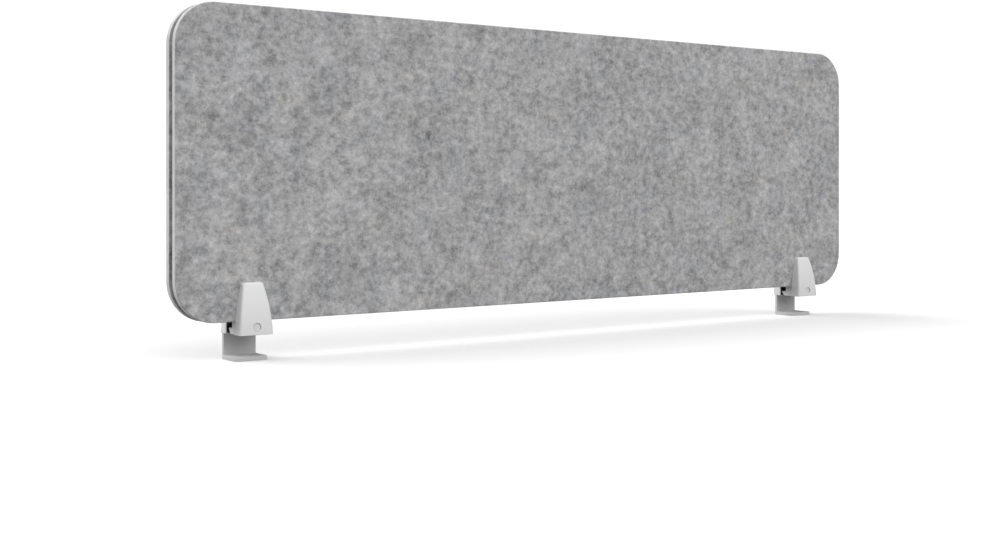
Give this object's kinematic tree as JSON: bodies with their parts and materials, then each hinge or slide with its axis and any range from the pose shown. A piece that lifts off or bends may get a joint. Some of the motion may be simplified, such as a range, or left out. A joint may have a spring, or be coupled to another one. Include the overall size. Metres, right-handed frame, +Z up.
{
  "type": "desk privacy panel",
  "caption": "Upright felt desk screen with rounded corners, held over the rear edge of a desktop by screw clamps with sliding hooks.",
  "frame": {"origin": "centre of the footprint, on the plane that the hooks' feet stand on", "axes": "+X along the screen to the right of the person at the desk, +Y away from that person, +Z up"},
  "size_m": [1.16, 0.055, 0.422],
  "materials": {
    "front_felt": "mottled light grey needled felt",
    "core": "darker grey pressed felt",
    "rear_felt": "mottled light grey needled felt",
    "jaw_casting": "fine satin silver-grey powder coat",
    "grip_pad": "matt",
    "screw_cap": "satin",
    "screw": "zinc plated",
    "nut": "zinc plated",
    "hook": "fine satin silver-grey powder coat"
  },
  "bodies": {
    "panel": {"front_felt_board": "front_felt", "core_board": "core", "rear_felt_board": "rear_felt", "left_rear_jaw": "jaw_casting", "left_rear_grip_pad": "grip_pad", "left_square_nut": "nut", "right_rear_jaw": "jaw_casting", "right_rear_grip_pad": "grip_pad", "right_square_nut": "nut"},
    "left_front_jaw": {"left_front_jaw": "jaw_casting", "left_front_grip_pad": "grip_pad", "left_desk_pad": "grip_pad", "left_screw_cap": "screw_cap"},
    "left_clamp_screw": {"left_clamp_screw": "screw"},
    "left_desk_hook": {"left_desk_hook": "hook"},
    "right_front_jaw": {"right_front_jaw": "jaw_casting", "right_front_grip_pad": "grip_pad", "right_desk_pad": "grip_pad", "right_screw_cap": "screw_cap"},
    "right_clamp_screw": {"right_clamp_screw": "screw"},
    "right_desk_hook": {"right_desk_hook": "hook"}
  },
  "joints": [
    {"name": "left_jaw_slide", "type": "slide", "parent": "panel", "child": "left_front_jaw", "axis": [0, -1, 0], "range_m": [0, 0.003]},
    {"name": "left_screw_turn", "type": "hinge", "parent": "left_front_jaw", "child": "left_clamp_screw", "pos_m": [-0.4845, 0, 0.0406], "axis": [0, -1, 0], "range_deg": [0, 1080.1]},
    {"name": "left_hook_slide", "type": "slide", "parent": "panel", "child": "left_desk_hook", "axis": [0, 0, -1], "range_m": [0, 0.01]},
    {"name": "right_jaw_slide", "type": "slide", "parent": "panel", "child": "right_front_jaw", "axis": [0, -1, 0], "range_m": [0, 0.003]},
    {"name": "right_screw_turn", "type": "hinge", "parent": "right_front_jaw", "child": "right_clamp_screw", "pos_m": [0.4845, 0, 0.0406], "axis": [0, -1, 0], "range_deg": [0, 1080.1]},
    {"name": "right_hook_slide", "type": "slide", "parent": "panel", "child": "right_desk_hook", "axis": [0, 0, -1], "range_m": [0, 0.01]}
  ],
  "couplings": [
    {"joint": "left_screw_turn", "follows": "left_jaw_slide", "rad_per_m": 6283.2},
    {"joint": "right_screw_turn", "follows": "right_jaw_slide", "rad_per_m": 6283.2}
  ]
}
